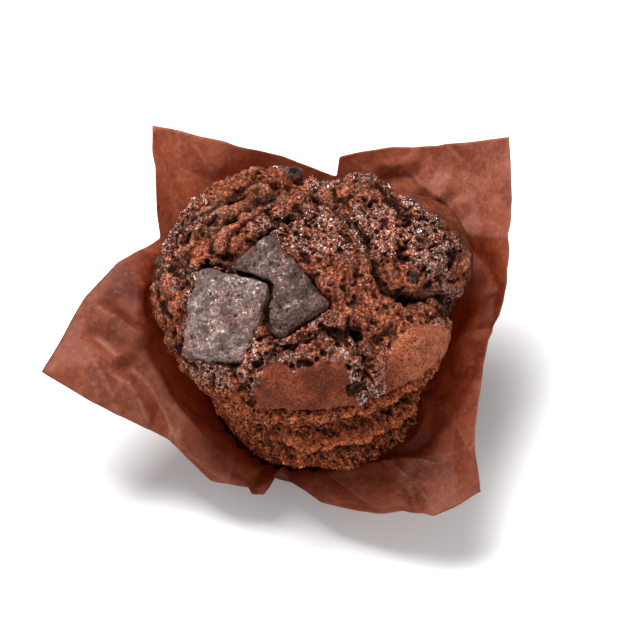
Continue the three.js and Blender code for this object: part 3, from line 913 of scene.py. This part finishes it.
class Graph:
    """Short-hand for a material's nodes: a call adds what it needs, and most give back their result."""

    def __init__(self, name):
        self.material = bpy.data.materials.new(name)
        self.material.use_nodes = True
        self.tree = self.material.node_tree
        self.shader = next(n for n in self.tree.nodes if n.type == "BSDF_PRINCIPLED")

    def wire(self, socket, value):
        """Links a node's output to a socket, or sets the socket to a value."""
        if isinstance(value, bpy.types.NodeSocket):
            self.tree.links.new(value, socket)
        else:
            socket.default_value = value

    def add(self, kind, inputs, **settings):
        node = self.tree.nodes.new("ShaderNode" + kind)
        for key, value in settings.items():
            setattr(node, key, value)
        for key, value in inputs.items():
            self.wire(node.inputs[key], value)
        return node

    def attribute(self, name):
        return self.add("Attribute", {}, attribute_name=name).outputs["Fac"]

    def place(self):
        return self.add("TexCoord", {}).outputs["Object"]

    def noise(self, size, detail=3.0, rough=0.55, distortion=0.0):
        """Noise whose features are about `size` millimetres across."""
        inputs = {"Vector": self.place(), "Scale": 1 / (size * MM), "Detail": detail, "Roughness": rough,
                  "Distortion": distortion}
        return self.add("TexNoise", inputs).outputs["Fac"]

    def scattered(self, size):
        """Inputs of a cell texture whose cells are about `size` millimetres across, with wavy borders."""
        push = self.add("TexNoise", {"Vector": self.place(), "Scale": 1 / (size * MM), "Detail": 2.0})
        centred = self.add("VectorMath", {0: push.outputs["Color"], 1: (0.5, 0.5, 0.5)}, operation="SUBTRACT")
        pushed = self.add("VectorMath", {0: centred.outputs[0], "Scale": size * MM}, operation="SCALE")
        place = self.add("VectorMath", {0: self.place(), 1: pushed.outputs[0]}, operation="ADD").outputs[0]
        return {"Vector": place, "Scale": 1 / (size * MM)}

    def grains(self, size):
        """Round grains about `size` millimetres across: 1 at the middle of each and 0 between them."""
        near = self.add("TexVoronoi", self.scattered(size), feature="F1").outputs["Distance"]
        return self.ramp(near, 0.75, 0.1)

    def pores(self, size):
        """Holes about `size` millimetres apart: 0 at their walls and in the half of them that stay closed."""
        inputs = self.scattered(size)
        wall = self.add("TexVoronoi", inputs, feature="DISTANCE_TO_EDGE").outputs["Distance"]
        number = self.add("TexVoronoi", inputs, feature="F1").outputs["Color"]
        return self.times(self.ramp(wall, 0.06, 0.26), self.ramp(number, 0.42, 0.5))

    def ramp(self, value, low, high):
        inputs = {"Value": value, "From Min": low, "From Max": high, "To Min": 0.0, "To Max": 1.0}
        return self.add("MapRange", inputs, interpolation_type="SMOOTHSTEP").outputs["Result"]

    def math(self, operation, a, b=0.0):
        return self.add("Math", {0: a, 1: b}, operation=operation, use_clamp=False).outputs[0]

    def times(self, a, b):
        return self.math("MULTIPLY", a, b)

    def most(self, a, b):
        return self.math("MAXIMUM", a, b)

    def rest(self, share):
        return self.math("SUBTRACT", 1.0, share)

    def mix(self, share, a, b):
        """Mixes two colours, given as sockets or as red, green and blue."""
        a, b = (value if isinstance(value, bpy.types.NodeSocket) else (*value, 1.0) for value in (a, b))
        return self.add("Mix", {0: share, 6: a, 7: b}, data_type="RGBA").outputs[2]

    def spots(self, under, value, low, high, strength, colour):
        """Paints a colour over another where a value goes from `low` to `high`."""
        return self.mix(self.times(self.ramp(value, low, high), strength), under, colour)

    def bump(self, height, distance, strength=1.0, under=None):
        inputs = {"Height": height, "Distance": distance * MM, "Strength": strength}
        if under is not None:
            inputs["Normal"] = under
        return self.add("Bump", inputs).outputs["Normal"]

    def finish(self, colour, roughness, normal, **constants):
        self.wire(self.shader.inputs["Base Color"], colour)
        self.wire(self.shader.inputs["Roughness"], roughness)
        self.wire(self.shader.inputs["Normal"], normal)
        for key, value in constants.items():
            self.shader.inputs[key.replace("_", " ")].default_value = value
        return self.material


# Colours are red, green and blue from 0 to 1, in linear light.
# Painted shade: the near-black colour put in pores and cracks, where shade falls.
PAINTED_HOLE_SHADE = (0.006, 0.0015, 0.0008)
PAPER_GLOW = 0.24  # share of the light that passes through the paper


def crumb_colour(g, fine, middle, grain, pores):
    """The walls of the pores, the torn crumb and the baked skin, with painted shade in their hollows, pores
    and cracks.
    """
    pore, small_pore = pores
    torn, relief, strand = g.attribute("torn"), g.attribute("relief"), g.attribute("strand")
    broad = g.noise(8.0, 3.0)
    proud = g.ramp(g.math("ADD", relief, g.times(g.math("SUBTRACT", middle, 0.5), 0.7)), 0.45, 0.75)
    wall = g.mix(g.ramp(middle, 0.4, 0.6), (0.14, 0.029, 0.01), (0.46, 0.112, 0.043))
    crest = g.mix(g.ramp(broad, 0.38, 0.62), (0.14, 0.034, 0.015), (0.37, 0.098, 0.044))
    crest = g.spots(crest, fine, 0.54, 0.64, 0.7, (0.76, 0.25, 0.115))
    wall = g.mix(proud, wall, crest)
    wall = g.mix(g.times(strand, 0.7), wall, (0.48, 0.16, 0.085))
    # Painted shade in the gaps between the grains.
    wall = g.spots(wall, grain, 0.5, 0.1, 0.65, (0.014, 0.003, 0.0015))

    open_crumb = g.mix(g.ramp(middle, 0.4, 0.62), (0.135, 0.026, 0.009), (0.345, 0.077, 0.027))
    open_crumb = g.spots(open_crumb, fine, 0.54, 0.64, proud, (0.85, 0.25, 0.09))
    open_crumb = g.mix(g.times(strand, 0.5), open_crumb, (0.62, 0.16, 0.06))
    # Painted shade in the gaps between the grains.
    open_crumb = g.spots(open_crumb, grain, 0.4, 0.1, 0.45, (0.02, 0.004, 0.0015))

    pale_lit_skin = g.mix(g.ramp(middle, 0.36, 0.64), (0.21, 0.052, 0.021), (0.32, 0.096, 0.046))
    skin = g.mix(g.ramp(broad, 0.38, 0.62), (0.075, 0.015, 0.006), (0.17, 0.038, 0.015))
    skin = g.spots(skin, g.noise(3.0, 4.0, 0.7), 0.5, 0.66, 0.7, (0.065, 0.013, 0.006))
    # Paler skin on the right: partly its own colour, partly painted light.
    skin = g.mix(g.attribute("pale"), skin, pale_lit_skin)
    skin = g.spots(skin, fine, 0.54, 0.64, 0.6, (0.04, 0.008, 0.004))
    skin = g.spots(skin, fine, 0.46, 0.36, 0.2, (0.4, 0.13, 0.06))
    # Painted shade in the skin's fine pores.
    skin = g.mix(g.times(small_pore, g.times(g.ramp(broad, 0.44, 0.56), 0.8)), skin, (0.02, 0.004, 0.002))

    colour = g.mix(g.attribute("skin"), g.mix(torn, wall, open_crumb), skin)
    # Painted shade: near black where the relief is low, in the pores and in the cracks.
    colour = g.spots(colour, relief, 0.44, 0.12, 0.96, (0.008, 0.0015, 0.0008))
    colour = g.mix(g.times(pore, 0.93), colour, PAINTED_HOLE_SHADE)
    return g.mix(g.times(g.attribute("hollow"), 0.92), colour, PAINTED_HOLE_SHADE)


def crumb_material():
    g = Graph("baked_crumb")
    skin, shiny = g.attribute("skin"), g.attribute("shiny")
    fine = g.noise(0.6, 4.0, 0.65)
    middle = g.noise(1.6, 3.0, 0.6)
    grain = g.grains(1.0)
    big_pore, small_pore = g.pores(1.4), g.pores(0.75)
    # Where the pores are: painted shade goes in them, and glints stay out of them.
    pore = g.times(g.most(big_pore, g.times(small_pore, 0.8)), g.rest(skin))
    pore = g.times(pore, g.math("ADD", 0.45, g.times(shiny, 0.5)))
    colour = crumb_colour(g, fine, middle, grain, (pore, small_pore))

    normal = g.bump(g.rest(big_pore), 0.3, 0.8)
    normal = g.bump(g.rest(small_pore), 0.14, 0.8, normal)
    normal = g.bump(grain, 0.34, 0.9, normal)
    normal = g.bump(g.noise(0.6, 2.0, 0.5), 0.16, 0.9, normal)
    smoother = g.bump(g.noise(1.4, 4.0, 0.65), 0.45, 0.9)
    normal = g.add("Mix", {0: skin, 4: normal, 5: smoother}, data_type="VECTOR").outputs[1]

    sparkle = g.times(g.ramp(g.noise(1.2, 2.0, 0.6), 0.42, 0.52), g.ramp(g.noise(5.0, 2.0), 0.24, 0.4))
    open_face = g.times(g.rest(pore), g.rest(g.attribute("hollow")))
    open_face = g.times(open_face, g.ramp(g.attribute("granular"), 0.3, 0.9))
    open_face = g.times(open_face, g.ramp(g.attribute("relief"), 0.25, 0.5))
    glint = g.times(g.times(sparkle, open_face), g.math("ADD", 0.12, g.times(shiny, 0.82)))
    g.wire(g.shader.inputs["Coat Weight"], glint)
    g.wire(g.shader.inputs["Coat Normal"], normal)
    return g.finish(colour, 0.8, normal, Specular_IOR_Level=0.1, Coat_Roughness=0.2, Coat_IOR=2.35)


def paper_material():
    g = Graph("greaseproof_paper")
    blotch = g.noise(6.0, 4.0, 0.65)
    fibre = g.noise(1.3, 4.0, 0.72, 0.5)
    cloud = g.noise(22.0, 2.0)
    dry = g.mix(g.ramp(blotch, 0.38, 0.62), (0.15, 0.042, 0.022), (0.27, 0.084, 0.047))
    dry = g.spots(dry, cloud, 0.42, 0.6, 0.55, (0.24, 0.056, 0.022))
    dry = g.spots(dry, fibre, 0.5, 0.66, 0.55, (0.095, 0.024, 0.012))
    dry = g.spots(dry, fibre, 0.46, 0.34, 0.4, (0.38, 0.14, 0.085))
    # Pale crease lines: partly paler folded paper, partly a painted highlight.
    dry = g.mix(g.times(g.attribute("line"), 0.5), dry, (0.42, 0.175, 0.112))
    # Darker paper near the crumb: partly a fat stain, partly painted shade.
    greasy_shaded = g.mix(g.ramp(blotch, 0.38, 0.66), (0.055, 0.006, 0.001), (0.16, 0.028, 0.006))
    greasy_shaded = g.spots(greasy_shaded, fibre, 0.52, 0.66, 0.5, (0.29, 0.07, 0.018))
    colour = g.mix(g.times(g.attribute("grease_and_shade"), 0.9), dry, greasy_shaded)
    # Painted light and shade: the paper's colour is scaled by azimuth.
    colour = g.add("VectorMath", {0: colour, "Scale": g.attribute("painted_light")}, operation="SCALE").outputs[0]
    roughness = g.math("ADD", 0.45, g.times(blotch, 0.2))
    normal = g.bump(g.noise(4.0, 4.0, 0.6), 0.45, 0.6)
    normal = g.bump(fibre, 0.08, 0.7, normal)
    material = g.finish(colour, roughness, normal, Specular_IOR_Level=0.2)
    glow = g.add("BsdfTranslucent", {"Color": (0.75, 0.19, 0.07, 1.0), "Normal": normal})
    both = g.add("MixShader", {0: PAPER_GLOW, 1: g.shader.outputs[0], 2: glow.outputs[0]})
    output = next(n for n in g.tree.nodes if n.type == "OUTPUT_MATERIAL")
    g.tree.links.new(both.outputs[0], output.inputs["Surface"])
    return material


def chocolate_material(name, dark, light, roughness, specular, shine):
    def scaled(colour, *parts):
        return tuple(part * value for part, value in zip(parts, colour))

    g = Graph(name)
    dust = g.noise(0.75, 4.0, 0.7)
    bloom = g.noise(3.5, 3.0, 0.6)
    warm = g.noise(7.0, 2.0)
    hollow = g.attribute("hollow")
    colour = g.mix(g.ramp(bloom, 0.33, 0.67), dark, light)
    colour = g.spots(colour, warm, 0.48, 0.66, 0.5, scaled(light, 1.0, 0.6, 0.5))
    colour = g.spots(colour, dust, 0.48, 0.36, 0.75, scaled(dark, 0.35, 0.35, 0.35))
    colour = g.spots(colour, dust, 0.55, 0.68, 0.45, scaled(light, 2.2, 2.2, 2.2))
    # Painted shade in the slits, specks and dips.
    colour = g.mix(g.times(hollow, 0.95), colour, scaled(dark, 0.05, 0.05, 0.05))
    normal = g.bump(g.noise(1.8, 3.0, 0.6), 1.0, 0.9)
    normal = g.bump(g.grains(1.1), 0.22, 0.8, normal)
    normal = g.bump(dust, 0.2, 0.8, normal)
    glint = g.times(g.ramp(g.noise(1.0, 3.0, 0.6), 0.49, 0.58), g.ramp(bloom, 0.4, 0.56))
    g.wire(g.shader.inputs["Coat Weight"], g.times(g.times(glint, shine), g.rest(hollow)))
    g.wire(g.shader.inputs["Coat Normal"], normal)
    return g.finish(colour, roughness, normal, Specular_IOR_Level=specular, Coat_Roughness=0.2, Coat_IOR=2.2)


def floor_material():
    g = Graph("pale_floor")
    tint = g.mix(g.noise(40.0, 2.0), (0.86, 0.86, 0.86), (0.88, 0.88, 0.88))
    return g.finish(tint, 0.9, g.bump(g.noise(2.0, 2.0), 0.01, 0.1), Specular_IOR_Level=0.1)


# ---- Studio ----

VIEW_ELEVATION = 50.0
VIEW_DISTANCE = 1.3  # metres, as are the span of the picture at the muffin and the place looked at
VIEW_SPAN = 0.1737
AIM = Vector((-0.0008, -0.003, 0.045))
SENSOR = 36.0
FLOOR_DROP = 0.15  # the paper's lower face rests here, below the frame's origin
FLOOR_SIDE = 6000.0
SKY = 0.34  # strength of the plain white light from all around
LIGHTS = {  # place and size in metres, and power in watts
    "key": ((-0.2, 0.18, 0.82), 0.5, 13.5),
    "fill": ((-0.25, -1.0, 0.45), 0.5, 6.0),
    "side": ((0.8, -0.45, 0.5), 0.4, 2.0),
}


def make_camera():
    tilt = math.radians(VIEW_ELEVATION)
    data = bpy.data.cameras.new("camera")
    data.sensor_width = SENSOR
    data.lens = data.sensor_width * VIEW_DISTANCE / VIEW_SPAN
    camera = bpy.data.objects.new("camera", data)
    camera.location = AIM + VIEW_DISTANCE * Vector((0, -math.cos(tilt), math.sin(tilt)))
    camera.rotation_euler = (math.pi / 2 - tilt, 0, 0)
    bpy.context.scene.collection.objects.link(camera)
    bpy.context.scene.camera = camera


def make_light(name, place, size, power):
    data = bpy.data.lights.new(name, "AREA")
    data.size = size
    data.energy = power
    light = bpy.data.objects.new(name, data)
    light.location = place
    light.rotation_euler = (Vector(place) - AIM).to_track_quat("Z", "Y").to_euler()
    bpy.context.scene.collection.objects.link(light)


def make_studio():
    for name, values in LIGHTS.items():
        make_light(name, *values)
    world = bpy.data.worlds.new("studio")
    world.use_nodes = True
    background = world.node_tree.nodes["Background"]
    background.inputs["Color"].default_value = (1, 1, 1, 1)
    background.inputs["Strength"].default_value = SKY
    bpy.context.scene.world = world
    bpy.context.scene.view_settings.view_transform = "Standard"

    corners = np.array([(-1, -1, 0), (1, -1, 0), (1, 1, 0), (-1, 1, 0)]) * FLOOR_SIDE / 2
    floor = mesh_object("floor", corners - (0, 0, FLOOR_DROP), np.array([[0, 1, 2, 3]]))
    floor.data.materials.append(floor_material())


# ---- Assembly ----

def place_piece(piece, node, material):
    piece.data.materials.clear()
    piece.data.materials.append(material)
    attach(piece, "root")
    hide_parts(node)


make_camera()
make_studio()

# Each chocolate's name, dark and light colour, roughness, specular level and strength of its glints.
CHOCOLATES = [
    ("bloomed_chocolate", (0.068, 0.036, 0.029), (0.17, 0.104, 0.091), 0.6, 0.25, 0.85),
    # The right chunk's darker colours are partly less bloom, partly painted shade on its face turned from the
    # light.
    ("shaded_matte_chocolate", (0.042, 0.019, 0.014), (0.108, 0.058, 0.046), 0.6, 0.2, 0.6),
    ("dark_chip", (0.024, 0.008, 0.005), (0.055, 0.02, 0.012), 0.45, 0.12, 0.15),
    ("brown_chip", (0.036, 0.01, 0.005), (0.09, 0.028, 0.015), 0.6, 0.1, 0.0),
]
left_look, shaded_right_look, dark_look, brown_look = (chocolate_material(*values) for values in CHOCOLATES)

chocolate = []
for number, (side, look) in enumerate({"left": left_look, "right": shaded_right_look}.items()):
    node = "chocolate_chunk_" + side
    piece = make_chunk("chunk_" + side, node, 100 + 20 * number, chocolate[0] if chocolate else None)
    place_piece(piece, node, look)
    chocolate.append(piece)
for number, side in enumerate(("back", "right", "rim", "front", "left")):
    node = "chocolate_chip_" + side
    piece = make_chip("chip_" + side, node, 200 + 20 * number)
    place_piece(piece, node, brown_look if side == "front" else dark_look)
    chocolate.append(piece)

place_piece(make_crumb(chocolate), "muffin_crumb", crumb_material())

sheet = make_wrap()
place_piece(sheet, "paper_wrap", paper_material())
